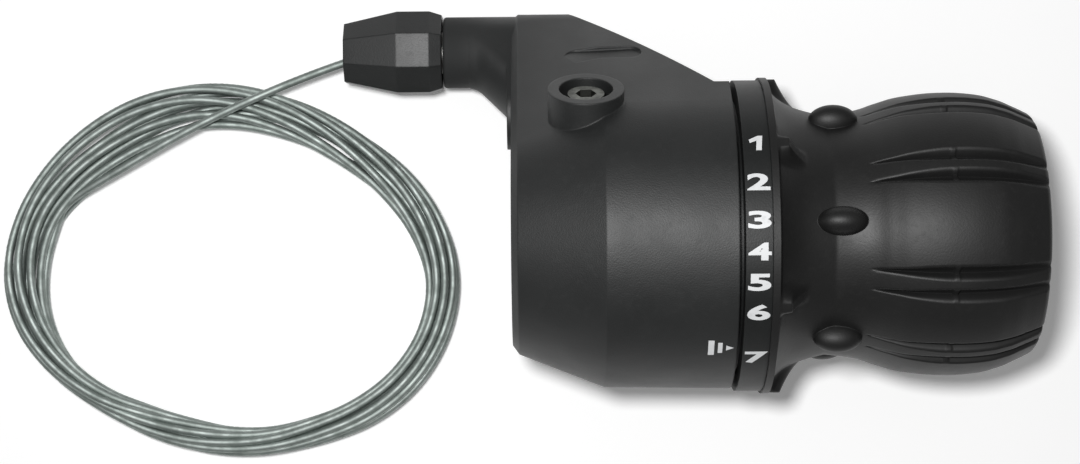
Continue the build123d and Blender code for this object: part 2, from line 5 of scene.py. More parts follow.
import bmesh
import bpy
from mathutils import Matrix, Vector


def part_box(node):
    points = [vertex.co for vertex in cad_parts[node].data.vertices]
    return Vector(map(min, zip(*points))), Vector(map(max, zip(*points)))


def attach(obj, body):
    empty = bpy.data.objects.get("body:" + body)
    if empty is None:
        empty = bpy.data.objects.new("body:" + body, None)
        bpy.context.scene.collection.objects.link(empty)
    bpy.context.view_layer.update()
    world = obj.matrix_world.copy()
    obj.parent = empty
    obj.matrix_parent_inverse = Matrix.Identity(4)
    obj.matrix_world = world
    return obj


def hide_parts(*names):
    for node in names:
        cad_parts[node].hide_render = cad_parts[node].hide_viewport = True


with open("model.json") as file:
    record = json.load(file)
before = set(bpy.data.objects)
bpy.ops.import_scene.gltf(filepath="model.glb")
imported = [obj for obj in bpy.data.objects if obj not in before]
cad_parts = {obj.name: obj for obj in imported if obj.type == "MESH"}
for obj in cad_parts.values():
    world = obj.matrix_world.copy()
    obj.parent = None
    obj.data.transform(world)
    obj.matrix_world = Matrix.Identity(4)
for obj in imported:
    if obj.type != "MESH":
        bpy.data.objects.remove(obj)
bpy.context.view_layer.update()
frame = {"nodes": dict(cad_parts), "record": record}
MM = 0.001
degree = pi / 180

# Places taken from the CAD frame, in metres
grip_lo, grip_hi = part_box("grip_rubber")
core_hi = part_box("grip_core")[1]
coil_lo, coil_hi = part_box("wire_coil")
table_z = coil_lo.z
grip_x = grip_lo.x
grip_len = grip_hi.x - grip_lo.x
flange_r = grip_hi.y
collar_r = core_hi.y

# Camera straight above the part, as the photograph looks at it
photo_width = 1080
photo_scale = 0.14 * MM
camera_height = 322 * MM
camera_place = (3.9 * MM, 0.76 * MM, camera_height)
camera_roll = radians(-0.5)
camera_near = 0.01
sensor_width = 36.0

# Small lamp beside the lens, a dim white world, and a pale floor that looks white
lamp_place = (-0.025, 0.03, 0.335)
lamp_size = 0.04
lamp_power = 1.0
world_strength = 0.15
floor_shade = 0.97
floor_glow = 0.16
floor_reach = 4.0


class Tree:
    """A node tree that adds nodes by type, with settings first and then socket values or links."""

    def __init__(self, nodes, links):
        self.nodes = nodes
        self.links = links

    def feed(self, socket, value):
        """Puts a value on a socket, or a link from another node's output."""
        if isinstance(value, Value):
            self.links.new(value.socket, socket)
        elif isinstance(value, bpy.types.NodeSocket):
            self.links.new(value, socket)
        else:
            socket.default_value = value

    def add(self, kind, settings=None, out=0, **inputs):
        """New node of a type; keys of inputs are socket names with _ for a space, or in_N for a place."""
        node = self.nodes.new(kind)
        for name, setting in (settings or {}).items():
            setattr(node, name, setting)
        for name, value in inputs.items():
            key = int(name[3:]) if name.startswith("in_") else name.replace("_", " ")
            self.feed(node.inputs[key], value)
        return Value(self, node.outputs[out]) if node.outputs else node

    def math(self, operation, *values):
        """Math node on values and numbers."""
        return self.add("ShaderNodeMath", {"operation": operation},
                        **{f"in_{i}": value for i, value in enumerate(values)})

    def blend(self, factor, a, b):
        """Mix of two colours."""
        node = self.nodes.new("ShaderNodeMix")
        node.data_type = "RGBA"
        self.feed(node.inputs[0], factor)
        for socket, colour in ((node.inputs[6], a), (node.inputs[7], b)):
            self.feed(socket, (*colour, 1.0) if isinstance(colour, tuple) else colour)
        return Value(self, node.outputs[2])

    def step(self, value, low, high):
        """Smooth rise from 0 to 1 as a value goes from low to high."""
        return self.add("ShaderNodeMapRange", {"interpolation_type": "SMOOTHSTEP"}, in_0=value,
                        in_1=low, in_2=high, in_3=0.0, in_4=1.0)

    def span(self, value, low, high, start, end):
        """Straight rise from start to end as a value goes from low to high, level outside."""
        return self.add("ShaderNodeMapRange", {"clamp": True}, in_0=value, in_1=low, in_2=high,
                        in_3=start, in_4=end)

    def pick(self, index, values):
        """One of several values, chosen by a whole number."""
        node = self.nodes.new("GeometryNodeIndexSwitch")
        node.data_type = "FLOAT"
        while len(node.index_switch_items) < len(values):
            node.index_switch_items.new()
        self.feed(node.inputs[0], index)
        for socket, value in zip(node.inputs[1:], values):
            self.feed(socket, value)
        return Value(self, node.outputs[0])

    def curve(self, value, points):
        """Smooth curve through points that run from 0 to 1 in both directions."""
        node = self.nodes.new("ShaderNodeFloatCurve")
        line = node.mapping.curves[0]
        for point, place in zip(line.points, (points[0], points[-1])):
            point.location = place
        for place in points[1:-1]:
            line.points.new(*place)
        node.mapping.update()
        self.feed(node.inputs["Value"], value)
        return Value(self, node.outputs[0])


class Value:
    """A socket that takes part in Python expressions, each of which adds its Math node."""

    def __init__(self, tree, socket):
        self.tree = tree
        self.socket = socket

    def __add__(self, other):
        return self.tree.math("ADD", self, other)

    def __sub__(self, other):
        return self.tree.math("SUBTRACT", self, other)

    def __rsub__(self, other):
        return self.tree.math("SUBTRACT", other, self)

    def __mul__(self, other):
        return self.tree.math("MULTIPLY", self, other)

    def __truediv__(self, other):
        return self.tree.math("DIVIDE", self, other)

    def __rtruediv__(self, other):
        return self.tree.math("DIVIDE", other, self)

    def __pow__(self, other):
        return self.tree.math("POWER", self, other)

    def __neg__(self):
        return self.tree.math("MULTIPLY", self, -1.0)

    def __abs__(self):
        return self.tree.math("ABSOLUTE", self)

    def most(self, other):
        return self.tree.math("MAXIMUM", self, other)

    def sine(self):
        return self.tree.math("SINE", self)

    def cosine(self):
        return self.tree.math("COSINE", self)

    def root(self):
        return self.tree.math("SQRT", self)

    def whole(self):
        return self.tree.math("ROUND", self)

    def wrapped(self, low, high):
        return self.tree.math("WRAP", self, high, low)

    __radd__ = __add__
    __rmul__ = __mul__


def shader(name):
    """New material with its tree and its main shader."""
    material = bpy.data.materials.new(name)
    material.use_nodes = True
    tree = Tree(material.node_tree.nodes, material.node_tree.links)
    return material, tree, tree.nodes["Principled BSDF"]


def noise(tree, place, scale, detail=3.0, roughness=0.55):
    """Cloudy value about 0.5 on the given coordinates."""
    return tree.add("ShaderNodeTexNoise", in_0=place, Scale=scale, Detail=detail, Roughness=roughness)


def bump(tree, height, strength, distance, normal=None):
    """Normal from a height, on top of another normal where one is given."""
    under = {"Normal": normal} if normal else {}
    return tree.add("ShaderNodeBump", Height=height, Strength=strength, Distance=distance, **under)


def object_place(tree):
    """The piece's own coordinates, which are the part's frame."""
    return tree.add("ShaderNodeTexCoord", out=3)


# Noise of the mouldings: scales per metre, the span in which the haze comes up, and the turn of the fine
# noise against the part's axes
cloud_scale = 140.0
haze_scale = 1100.0
haze_span = (0.5, 0.74)
noise_turn = (0.7, 0.5, 0.3)
cloud_roughness = 0.16
haze_roughness = 0.03
# Where the grooves sink: more roughness, and a painted shade of this near-black colour
sunk_roughness = 0.3
groove_shade_colour = (0.001, 0.001, 0.001)


def moulded(name, colour, sheen_colour, gloss, grain_scale, grain_depth, edge, band=None, sunk=None):
    """Moulded black plastic or rubber: fine spark grain, cloudy gloss and a faint handling haze.

    Between the stations of band, where given, its roughness changes by the last figure. Where the
    attribute that sunk names is 1, it is duller and darkened by a painted shade of the groove hollows.
    """
    material, tree, main = shader(name)
    rough, shine = gloss
    place = object_place(tree)
    cloud = noise(tree, place, cloud_scale)
    askew = tree.add("ShaderNodeVectorRotate", {"rotation_type": "EULER_XYZ"}, Vector=place,
                     Rotation=noise_turn)
    grain = noise(tree, askew, grain_scale, detail=2.0)
    soft = tree.add("ShaderNodeBevel", {"samples": 6}, Radius=edge)
    haze = tree.step(noise(tree, askew, haze_scale, detail=4.0), *haze_span)
    tint = tree.blend(cloud * 0.5 + haze * 0.35, colour, sheen_colour)
    roughness = rough + (cloud - 0.5) * cloud_roughness + haze * haze_roughness
    if band:
        along = tree.add("ShaderNodeSeparateXYZ", in_0=place)
        start, full, end, change = band
        in_band = tree.step(along, start, full) * (1.0 - tree.step(along, full, end))
        roughness = roughness + in_band * change
    if sunk:
        # Painted shade: groove hollows darkened towards a near-black colour
        depth = tree.add("ShaderNodeAttribute", {"attribute_name": sunk}, out=2)
        tint = tree.blend(depth * 0.9, tint, groove_shade_colour)
        roughness = roughness + depth * sunk_roughness
    tree.feed(main.inputs["Base Color"], tint)
    tree.feed(main.inputs["Roughness"], roughness)
    tree.feed(main.inputs["Normal"], bump(tree, grain, 0.55, grain_depth, soft))
    main.inputs["Specular IOR Level"].default_value = shine
    return material


def metal(name, colour, dull_colour, rough, scale):
    """Plated steel with a mottled, slightly dulled finish."""
    material, tree, main = shader(name)
    place = object_place(tree)
    spots = noise(tree, place, scale, detail=5.0)
    fine = noise(tree, place, scale * 6.0, detail=2.0)
    tree.feed(main.inputs["Base Color"], tree.blend(tree.step(spots, 0.35, 0.7), colour, dull_colour))
    tree.feed(main.inputs["Roughness"], rough + (spots - 0.5) * 0.3)
    tree.feed(main.inputs["Normal"], bump(tree, fine, 0.15, 0.02 * MM))
    main.inputs["Metallic"].default_value = 1.0
    return material


def pale_plastic(name, colour, shade_colour):
    """Plain acetal or liner plastic with a soft mottle."""
    material, tree, main = shader(name)
    cloud = noise(tree, object_place(tree), 180.0)
    tree.feed(main.inputs["Base Color"], tree.blend(cloud, colour, shade_colour))
    tree.feed(main.inputs["Roughness"], 0.4 + (cloud - 0.5) * 0.2)
    return material


def white_print():
    """White pad print, a little thin in places."""
    material, tree, main = shader("white_print")
    wear = tree.step(noise(tree, object_place(tree), 900.0, detail=4.0), 0.52, 0.78)
    tree.feed(main.inputs["Base Color"], tree.blend(wear * 0.35, (0.76, 0.77, 0.78), (0.45, 0.46, 0.47)))
    tree.feed(main.inputs["Roughness"], 0.45 + wear * 0.2)
    return material


black_nylon = moulded(
    "black_nylon", (0.009, 0.010, 0.010), (0.017, 0.018, 0.018),
    (0.53, 0.64), 5200.0, 0.05 * MM, 0.35 * MM,
    band=(-18.0 * MM, -9.0 * MM, -1.0 * MM, 0.28))
black_core = moulded(
    "black_core", (0.008, 0.009, 0.009), (0.014, 0.015, 0.015),
    (0.5, 0.42), 5200.0, 0.04 * MM, 0.2 * MM)
black_knob = moulded(
    "black_knob", (0.009, 0.010, 0.010), (0.017, 0.018, 0.018),
    (0.44, 0.52), 4800.0, 0.04 * MM, 0.3 * MM)
black_rubber = moulded(
    "black_rubber", (0.005, 0.005, 0.005), (0.011, 0.011, 0.0106),
    (0.53, 0.5), 3600.0, 0.03 * MM, 0.12 * MM,
    band=(43.0 * MM, 47.0 * MM, 54.0 * MM, -0.05), sunk="sunk")
white_acetal = pale_plastic("white_acetal", (0.82, 0.82, 0.79), (0.72, 0.72, 0.69))
white_liner = pale_plastic("white_liner", (0.85, 0.85, 0.83), (0.76, 0.76, 0.74))
spring_steel = metal("spring_steel", (0.2, 0.2, 0.205), (0.12, 0.12, 0.123), 0.5, 900.0)
zinc_steel = metal("zinc_steel", (0.3, 0.3, 0.29), (0.2, 0.2, 0.19), 0.5, 700.0)
black_steel = metal("black_steel", (0.16, 0.165, 0.15), (0.08, 0.082, 0.075), 0.42, 800.0)
wire_steel = metal("wire_steel", (0.41, 0.455, 0.435), (0.3, 0.34, 0.32), 0.62, 500.0)
printing = white_print()
finishes = {
    "black_nylon": black_nylon,
    "black_core": black_core,
    "black_knob": black_knob,
    "black_rubber": black_rubber,
    "white_acetal": white_acetal,
    "white_liner": white_liner,
    "spring_steel": spring_steel,
    "zinc_steel": zinc_steel,
    "black_steel": black_steel,
    "wire_steel": wire_steel,
}
for part in frame["record"]["subparts"]:
    node = frame["nodes"][part["node"]]
    node.data.materials.clear()
    node.data.materials.append(finishes[part["material_slot"]])


def show(name, data, material=None):
    """New object at the origin with its data, and a material where one is given."""
    piece = bpy.data.objects.new(name, data)
    bpy.context.scene.collection.objects.link(piece)
    if material:
        data.materials.append(material)
    return piece


def plain_mesh(piece):
    """The mesh that an object gives once its modifiers are worked out."""
    graph = bpy.context.evaluated_depsgraph_get()
    return bpy.data.meshes.new_from_object(piece.evaluated_get(graph), depsgraph=graph)


def grown(name, make_tree, start, sizes):
    """Piece made by a Geometry Nodes tree from a starting object, kept as a plain mesh."""
    group = bpy.data.node_groups.new(name + "_tree", "GeometryNodeTree")
    group.interface.new_socket("Geometry", in_out="INPUT", socket_type="NodeSocketGeometry")
    group.interface.new_socket("Geometry", in_out="OUTPUT", socket_type="NodeSocketGeometry")
    sockets = {}
    for size, value in sizes.items():
        kind = "NodeSocketInt" if isinstance(value, int) else "NodeSocketFloat"
        sockets[size] = group.interface.new_socket(size, in_out="INPUT", socket_type=kind)
    tree = Tree(group.nodes, group.links)
    entry = group.nodes.new("NodeGroupInput")
    given = {size: Value(tree, entry.outputs[size]) for size in sizes}
    last = make_tree(tree, Value(tree, entry.outputs["Geometry"]), given)
    leave = group.nodes.new("NodeGroupOutput")
    tree.feed(leave.inputs["Geometry"], last)
    modifier = start.modifiers.new(name, "NODES")
    modifier.node_group = group
    for size, value in sizes.items():
        modifier[sockets[size].identifier] = value
    mesh = plain_mesh(start)
    start.modifiers.remove(modifier)
    bpy.data.objects.remove(start)
    mesh.name = name
    return show(name, mesh)


# Gear wire: its route's points, then the loose turns of the coil, on one smooth line
wire_d = 1.2 * MM
wire_route = [
    (-18.0, 27.2, -16.0),
    (-20.5, 27.2, -16.0),
    (-28.4, 24.6, -15.95),
    (-37.3, 21.1, -15.95),
    (-47.6, 16.3, -16.05),
    (-57.8, 10.5, -16.55),
    (-66.2, 5.8, -18.35),
]
# Coil: slots in its outer and inner ring, turns, and the turn at which the strand has gone inward
coil_slots = (9, 4)
coil_turns = 12
coil_join = 8.27
coil_join_run = 0.3
coil_inner_share = 0.42
coil_inner_most = 1.15 * MM
coil_points = 24
# Bearing of the coil's start, place of its first slot, and bearing that the bundle's roll is counted from
coil_start = radians(163.0)
coil_first = radians(172.3)
coil_roll_from = radians(142.0)
coil_shift_y = -0.8 * MM
coil_stray = 0.2 * MM
stray_waves = (2.3, 1.7)
# Least half height of the bundle in millimetres, and what the squares of its half height and half width
# come to where it is narrow
coil_half_height = 1.9
coil_ring_room = 6.2
# Inner and outer radius of the coil's band in millimetres, at even bearings from +X towards +Y
coil_band = (
    (28.7, 34.0), (25.9, 32.1), (23.2, 29.2), (21.8, 27.9), (21.5, 28.1), (21.7, 29.2),
    (21.2, 30.5), (22.6, 31.8), (26.4, 33.6), (27.7, 34.8), (27.6, 32.9), (25.4, 29.0),
    (22.6, 27.4), (22.2, 27.0), (23.2, 27.4), (24.2, 28.8), (26.6, 31.8), (28.6, 33.6),
)


def band_at(bearing):
    """Inner and outer radius of the coil's band at a bearing, smooth between the given ones."""
    count = len(coil_band)
    place = bearing / (2 * pi) * count
    i = int(place // 1)
    t = place - i
    before, here, after, beyond = (coil_band[(i + k) % count] for k in (-1, 0, 1, 2))
    return [
        (b + 0.5 * t * (c - a + t * (2 * a - 5 * b + 4 * c - d + t * (3 * (b - c) + d - a)))) * MM
        for a, b, c, d in zip(before, here, after, beyond)
    ]


def coil_line():
    """Points of the coil: its strands lie in two rings of slots, and the bundle rolls on its way."""
    centre = (coil_lo + coil_hi) / 2
    points = []
    steps = coil_turns * coil_points - coil_points // 3
    for i in range(steps + 1):
        turn = i / coil_points
        inward = min(1.0, max(0.0, (turn - coil_join) / coil_join_run + 1.0))
        inward = inward * inward * (3 - 2 * inward)
        ring = 1.0 + (coil_inner_share - 1.0) * inward
        bearing = coil_start + 2 * pi * turn
        slot = min(turn, coil_join) / coil_slots[0] + max(0.0, turn - coil_join) / coil_slots[1]
        across = coil_first + 2 * pi * slot + pi / 2 * (1 - cos(bearing - coil_roll_from))
        inner_r, outer_r = band_at(bearing)
        half_width = (outer_r - inner_r - wire_d) / 2
        narrow_height = max(0.0, coil_ring_room - (half_width / MM) ** 2) ** 0.5
        half_height = max(coil_half_height, narrow_height) * MM
        inner_reach = min(half_width * coil_inner_share, coil_inner_most)
        reach = half_width + (inner_reach - half_width) * inward
        wave = sin(stray_waves[0] * bearing + stray_waves[1] * turn)
        stray = coil_stray * wave * (1 - abs(cos(across)))
        out = (inner_r + outer_r) / 2 + reach * cos(across) + stray
        points.append(Vector((
            centre.x + out * cos(bearing),
            centre.y + coil_shift_y + out * sin(bearing),
            table_z + wire_d / 2 + half_height * (1 + ring * sin(across)),
        )))
    return points


def wire_spline():
    """The wire's smooth line, with the route's points and the coil's as its control points."""
    line = bpy.data.curves.new("wire_line", "CURVE")
    line.dimensions = "3D"
    line.resolution_u = 6
    spline = line.splines.new("NURBS")
    points = [Vector(p) * MM for p in wire_route] + coil_line()
    spline.points.add(len(points) - 1)
    for slot, place in zip(spline.points, points):
        slot.co = (*place, 1.0)
    spline.order_u = 3
    spline.use_endpoint_u = True
    return line


strand_count = 12
strand_lay = 11.0 * MM
strand_depth = 0.03
ring_spacing = 0.8 * MM


def strand_tree(tree, curve, size):
    """Twisted strands along a line: a lobed ring turned a little more at each station."""
    rings = tree.add("GeometryNodeResampleCurve", {"mode": "LENGTH"}, in_0=curve, Length=size["Spacing"])
    index = tree.add("GeometryNodeInputIndex")
    turn = index * size["Spacing"] / size["Lay"] * (2 * pi)
    twisted = tree.add("GeometryNodeSetCurveTilt", in_0=rings, Tilt=turn)
    circle = tree.add("GeometryNodeCurvePrimitiveCircle", Resolution=size["Ring points"],
                      Radius=size["Radius"])
    valley = tree.math("MODULO", index, 2.0) * size["Depth"]
    lobed = tree.add("GeometryNodeSetPosition", in_0=circle, Position=tree.add(
        "ShaderNodeVectorMath", {"operation": "SCALE"}, in_0=tree.add("GeometryNodeInputPosition"),
        Scale=1.0 - valley))
    tube = tree.add("GeometryNodeCurveToMesh", Curve=twisted, Profile_Curve=lobed, Fill_Caps=True)
    whole = tree.add("GeometryNodeRealizeInstances", in_0=tube)
    return tree.add("GeometryNodeSetMaterial", in_0=whole, Material=wire_steel)


def gear_wire():
    """Free gear wire from the knob's mouth to its cut end in the coil."""
    line = wire_spline()
    bare = show("wire_line", line)
    path_mesh = plain_mesh(bare)
    wire = grown("gear_wire", strand_tree, bare, {
        "Spacing": ring_spacing, "Lay": strand_lay, "Ring points": 2 * strand_count,
        "Radius": wire_d / 2, "Depth": strand_depth,
    })
    wire.data.shade_smooth()
    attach(wire, "housing")
    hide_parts("wire_lead", "wire_coil")


gear_wire()

# Rubber grip, in millimetres from its inboard face and degrees from straight up towards +Y
grip_sizes = {
    "Length": grip_len / MM,
    "Flange radius": flange_r / MM,
    "Lip length": 1.1,
    "Scoop radius": 20.65,
    "Scoop run": 1.9,
    "Waist radius": 17.1,
    "Valley radius": 16.72,
    "Valley station": 8.9,
    "Sectors": 6,
    "Nub angle": 6.4,
    "Nub station": 9.7,
    "Nub length": 6.8,
    "Nub width": 3.9,
    "Nub height": 2.2,
    "Ridge angle": 34.5,
    "Ridge length": 2.6,
    "Ridge foot": 7.7,
    "Ridge half width": 2.3,
    "Groove repeats": 3,
    "Groove angle": 4.2,
    "Groove spread": 4.65,
    "Groove start": 13.4,
    "Groove full": 24.5,
    "Groove start half": 0.16,
    "Groove full half": 0.9,
    "Bridge station": 24.6,
    "Bridge length": 0.7,
    "Bridge height": 0.7,
    "Core radius": 15.43,
    "Core rib height": 0.7,
    "Core rib width": 3.1,
    "End lip radius": 13.4,
    "End lip length": 0.9,
}
grip_rows = ((8, 1.3), (40, 8.5), (18, 13.0), (34, 24.0), (10, 25.2), (34, 36.9), (8, 37.7))
inner_rows = 7
bulb_start = 8.9
bulb_end = 37.7
bulb_low_r = 16.0
bulb_high_r = 20.0
bulb_points = (
    (8.9, 16.72), (10.4, 16.86), (11.6, 17.02), (12.8, 17.22), (14.2, 17.56), (16.4, 18.3), (20.4, 19.3),
    (25.6, 19.75), (29.4, 19.55), (32.6, 18.85), (35.2, 17.8), (37.0, 16.95), (37.7, 16.6),
)
groove_floor = ((13.8, 17.0), (25.6, 18.15), (38.7, 15.75))
end_round = 0.7
# Edges and blends of the moulding in millimetres, powers of its falls, and the core's rib slots
lip_before = 0.1
lip_after = 0.12
scoop_power = 4.0
claw_power = 2.2
claw_sink = 0.1
claw_taper = 0.2
claw_sides = (0.35, 1.25)
valley_blend = 0.1
bridge_edge = 0.12
groove_run = 2.0
rib_angle = 30.0
rib_inside = 0.02
rib_outside = 0.18
rib_end = 28.0
rib_step = 0.1
weld = 0.002 * MM
sharp_angle = radians(60.0)
# Half a repeat of the groove pattern: its lands in columns, its grooves' middles in degrees as a fixed
# part and a share of the spread, and a groove's steps as columns, share of the opening and of the depth
land_columns = (20, 7, 38, 4)
groove_middles = ((24.15, -1.0), (24.15, 1.0), (60.0, -1.0))
groove_steps = ((1, 0.10, 0.12), (2, 0.42, 0.78), (1, 0.16, 0.10), (1, 0.12, -0.78), (2, 0.20, -0.22))
half_columns = sum(land_columns) + len(groove_middles) * sum(step[0] for step in groove_steps)


def parabola(points):
    """Height, slope and bend of the parabola through three points."""
    (x0, y0), (x1, y1), (x2, y2) = points
    first = (y1 - y0) / (x1 - x0)
    bend = ((y2 - y1) / (x2 - x1) - first) / (x2 - x0)
    slope = first - bend * (x0 + x1)
    return y0 - slope * x0 - bend * x0 * x0, slope, bend


def rubber_tree(tree, start, size):
    """Moulded grip as a grid wrapped round the bar: rows follow its profile, columns its grooves."""
    outer_rows = sum(count for count, reach in grip_rows)
    rows = outer_rows + inner_rows
    columns = 2 * half_columns * grip_sizes["Groove repeats"]
    grid = tree.add("GeometryNodeMeshGrid", Size_X=1.0, Size_Y=1.0, Vertices_X=rows + 1,
                    Vertices_Y=columns + 1)
    flat = tree.add("ShaderNodeSeparateXYZ", in_0=tree.add("GeometryNodeInputPosition")).socket.node
    row = ((Value(tree, flat.outputs[0]) + 0.5) * rows).whole()
    column = ((Value(tree, flat.outputs[1]) + 0.5) * columns).whole()

    station = row * 0.0
    last_row, last_station = 0, 0.0
    for count, reach in grip_rows:
        station = station + tree.span(row, last_row, last_row + count, 0.0, reach - last_station)
        last_row, last_station = last_row + count, reach

    opening = tree.step(station, size["Groove start"], size["Groove full"])
    widening = size["Groove full half"] - size["Groove start half"]
    groove_half = size["Groove start half"] + widening * opening
    half_angle = groove_half / (grip_sizes["Waist radius"] * degree)
    repeat = tree.math("FLOOR", (column + 0.5) / (2.0 * half_columns))
    from_middle = column - (repeat * 2.0 + 1.0) * half_columns
    step_at = abs(from_middle)
    turned, in_groove = row * 0.0, row * 0.0
    last_column, last_angle = 0, row * 0.0
    for land, (middle, share) in zip(land_columns, groove_middles):
        groove_low = middle + share * size["Groove spread"] - half_angle
        along_land = tree.span(step_at, last_column, last_column + land, 0.0, 1.0)
        turned = turned + along_land * (groove_low - last_angle)
        last_column = last_column + land
        for count, width, depth in groove_steps:
            along_step = tree.span(step_at, last_column, last_column + count, 0.0, 1.0)
            turned = turned + along_step * half_angle * (2.0 * width)
            in_groove = in_groove + along_step * depth
            last_column = last_column + count
        last_angle = groove_low + half_angle * 2.0
    along_land = tree.span(step_at, last_column, half_columns, 0.0, 1.0)
    turned = turned + along_land * (180.0 / size["Groove repeats"] - last_angle)
    first_angle = size["Groove angle"] + repeat * 360.0 / size["Groove repeats"]
    angle = first_angle + turned * tree.math("SIGN", from_middle)

    def aside(centre, count, radius):
        """Distance round the grip from the nearest of several evenly spaced angles."""
        half = 180.0 / count
        return abs((angle - centre).wrapped(-half, half)) * degree * radius

    valley = size["Valley radius"]
    fall = tree.span(station, size["Lip length"], size["Valley station"], 1.0, 0.0)
    hollow = size["Scoop radius"] - valley - size["Scoop run"]
    scoop = valley + fall * size["Scoop run"] + hollow * fall**scoop_power
    claw_fall = tree.span(station, size["Ridge length"], size["Ridge foot"], 1.0, 0.0)
    claw = valley + (size["Flange radius"] - claw_sink - valley) * claw_fall**claw_power
    claw_half = size["Ridge half width"] - station * claw_taper
    beside = aside(size["Ridge angle"], size["Sectors"], claw)
    on_ridge = 1.0 - tree.step(beside, claw_half * claw_sides[0], claw_half * claw_sides[1])
    skirt = scoop + (claw - scoop).most(0.0) * on_ridge
    past_lip = tree.step(station, size["Lip length"] - lip_before, size["Lip length"] + lip_after)
    body = size["Flange radius"] + (skirt - size["Flange radius"]) * past_lip

    bulb_range = bulb_high_r - bulb_low_r
    curve_points = [((x - bulb_start) / (bulb_end - bulb_start), (r - bulb_low_r) / bulb_range)
                    for x, r in bulb_points]
    bulb_share = tree.curve(tree.span(station, bulb_start, bulb_end, 0.0, 1.0), curve_points)
    bulb = bulb_share * bulb_range + bulb_low_r
    past_valley = tree.step(station, bulb_start - valley_blend, bulb_start + valley_blend)
    body = body + (bulb - body) * past_valley

    level, slope, bend = parabola(groove_floor)
    from_bridge = abs(station - size["Bridge station"])
    on_bridge = 1.0 - tree.step(from_bridge, size["Bridge length"] / 2 - bridge_edge,
                                size["Bridge length"] / 2 + bridge_edge)
    floor = station * slope + station * station * bend + level + on_bridge * size["Bridge height"]
    started = tree.step(station, size["Groove start"], size["Groove start"] + groove_run)
    sunk = in_groove * started
    body = body - (body - floor).most(0.0) * sunk
    end_turn = tree.span(station, size["Length"] - end_round, size["Length"], 0.0, 1.0)
    body = body - (1.0 - (1.0 - end_turn**2.0).most(0.0).root()) * end_round

    rib_side = aside(rib_angle, size["Sectors"], size["Core radius"])
    on_rib = 1.0 - tree.step(rib_side, size["Core rib width"] / 2 - rib_inside,
                             size["Core rib width"] / 2 + rib_outside)
    slot = size["Core radius"] + size["Core rib height"] * on_rib
    lip_x = size["Length"] - size["End lip length"]
    turn_in = (row - last_row).most(0.0)
    along = tree.pick(turn_in, [station, size["Length"], lip_x, lip_x, rib_end + rib_step, rib_end,
                                0.0, 0.0])
    radius = tree.pick(turn_in, [body, size["End lip radius"], size["End lip radius"],
                                 size["Core radius"], size["Core radius"], slot, slot,
                                 size["Flange radius"]])
    around = angle * degree
    place = tree.add("ShaderNodeCombineXYZ", X=(along + grip_x / MM) * MM, Y=radius * around.sine() * MM,
                     Z=radius * around.cosine() * MM)
    # The groove share is kept as an attribute, which the rubber's material uses for painted shade in the
    # grooves
    marked = tree.add("GeometryNodeStoreNamedAttribute", {"data_type": "FLOAT", "domain": "POINT"},
                      in_0=grid, Name="sunk", Value=sunk)
    shaped = tree.add("GeometryNodeSetPosition", in_0=marked, Position=place)
    joined = tree.add("GeometryNodeMergeByDistance", in_0=shaped, Distance=weld)
    both = tree.nodes.new("GeometryNodeJoinGeometry")
    tree.links.new(joined.socket, both.inputs[0])
    tree.links.new(thumb_nubs(tree, size).socket, both.inputs[0])
    whole = tree.add("GeometryNodeRealizeInstances", in_0=both.outputs[0])
    return tree.add("GeometryNodeSetMaterial", in_0=whole, Material=black_rubber)


def thumb_nubs(tree, size):
    """Domed nubs round the waist, one to a sector."""
    ball = tree.add("GeometryNodeMeshUVSphere", Segments=48, Rings=24, Radius=1.0)
    shape = tree.add("ShaderNodeCombineXYZ", X=size["Nub length"] * (MM / 2),
                     Y=size["Nub width"] * (MM / 2), Z=size["Nub height"] * MM)
    seat = tree.add("ShaderNodeCombineXYZ", X=size["Nub station"] * MM + grip_x,
                    Z=size["Waist radius"] * MM)
    dome = tree.add("GeometryNodeTransform", in_0=ball, Translation=seat, Scale=shape)
    spots = tree.add("GeometryNodePoints", Count=size["Sectors"])
    sector = tree.add("GeometryNodeInputIndex") * 360.0 / size["Sectors"]
    turn = (size["Nub angle"] + sector) * -degree
    return tree.add("GeometryNodeInstanceOnPoints", Points=spots, Instance=dome,
                    Rotation=tree.add("ShaderNodeCombineXYZ", X=turn))


def rubber_grip():
    """Grip's rubber with its scoops, claws, nubs and grooves."""
    start = show("grip_start", bpy.data.meshes.new("grip_start"))
    rubber = grown("rubber_grip", rubber_tree, start, grip_sizes)
    rubber.data.shade_smooth()
    rubber.data.set_sharp_from_angle(angle=sharp_angle)
    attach(rubber, "grip")
    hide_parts("grip_rubber")


rubber_grip()

# Gear numbers on the collar, at degrees from straight up, and the index mark on the housing, with its
# bars and tip as two stations and a height in millimetres
number_angles = (34.5, 19.1, 5.6, -5.4, -16.3, -27.7, -48.5)
number_left = 31.1 * MM
number_right = 34.15 * MM
number_height = 2.35 * MM
number_cuts = 6
number_weight = 0.034
one_outline = (
    (0.45, 0.0), (0.82, 0.0), (0.92, 1.0), (0.6, 1.0), (0.0, 0.72), (0.06, 0.5), (0.52, 0.66),
)
one_share = 0.6
one_shift = 0.17
print_sink = 0.06 * MM
print_proud = 0.03 * MM
shell_r = 21.3 * MM
index_angle = -44.5
index_bars = ((26.2, 27.0, 2.7), (27.5, 28.1, 1.9))
index_tip = (28.6, 29.6, 0.9)
index_cuts = 4


def wrapped_print(name, meshes, radius):
    """Joins flat prints, given as distances along and round and a height, bent on a cylinder."""
    verts, faces = [], []
    for flat_verts, flat_faces in meshes:
        first = len(verts)
        for along, around, height in flat_verts:
            angle = around / radius
            r = radius + height
            verts.append((along, r * sin(angle), r * cos(angle)))
        faces += [[first + i for i in face] for face in flat_faces]
    mesh = bpy.data.meshes.new(name)
    mesh.from_pydata(verts, [], faces)
    mesh.update()
    return show(name, mesh, printing)


